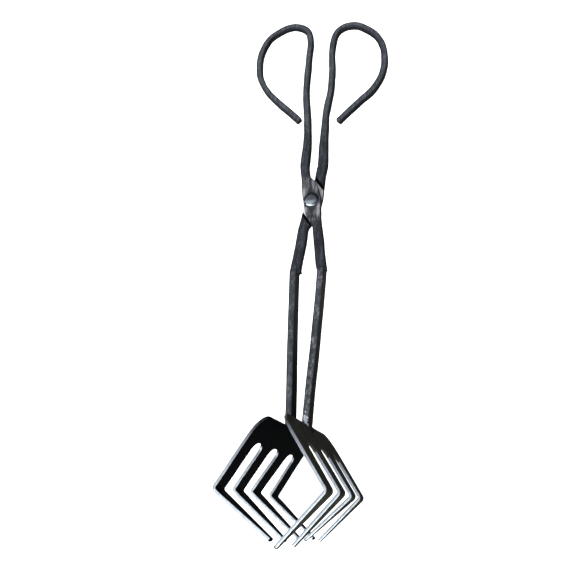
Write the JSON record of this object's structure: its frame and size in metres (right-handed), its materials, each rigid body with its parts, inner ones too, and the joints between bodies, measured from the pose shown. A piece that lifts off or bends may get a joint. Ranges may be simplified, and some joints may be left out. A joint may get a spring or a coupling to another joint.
{
  "type": "fire tongs",
  "caption": "Fire tongs with crossed forged arms on a domed rivet, open hand loops at one end and bent, slotted plate claws at the other for gripping logs or charcoal.",
  "frame": {"origin": "bottom centre of the closed tongs' box, where the lower side edge of the left claw rests", "axes": "+Y from the claws towards the hand loops, +Z along the rivet towards its domed head, +X towards the right-hand loop"},
  "size_m": [0.1818, 0.6668, 0.1819],
  "materials": {
    "forged_steel": "dark forge scale, hammered, lighter on the upper faces",
    "bar_steel": "dark hot-rolled scale, worn through in brown-grey patches",
    "claw_plate": "matt black faces with bare cut edges",
    "weld_metal": "bare weld bead",
    "rivet_steel": "hammered, polished by use"
  },
  "bodies": {
    "front_arm": {"front_rein": "forged_steel", "front_jaw_bar": "bar_steel", "front_knee_weld": "weld_metal", "right_claw": "claw_plate", "right_claw_weld": "weld_metal", "pivot_rivet": "rivet_steel"},
    "back_arm": {"back_rein": "forged_steel", "back_jaw_bar": "bar_steel", "back_knee_weld": "weld_metal", "left_claw": "claw_plate", "left_claw_weld": "weld_metal"}
  },
  "joints": [
    {"name": "arm_pivot", "type": "hinge", "parent": "front_arm", "child": "back_arm", "pos_m": [0.00034, 0.04641, 0.09095], "axis": [0, 0, -1], "range_deg": [0, 45]}
  ]
}
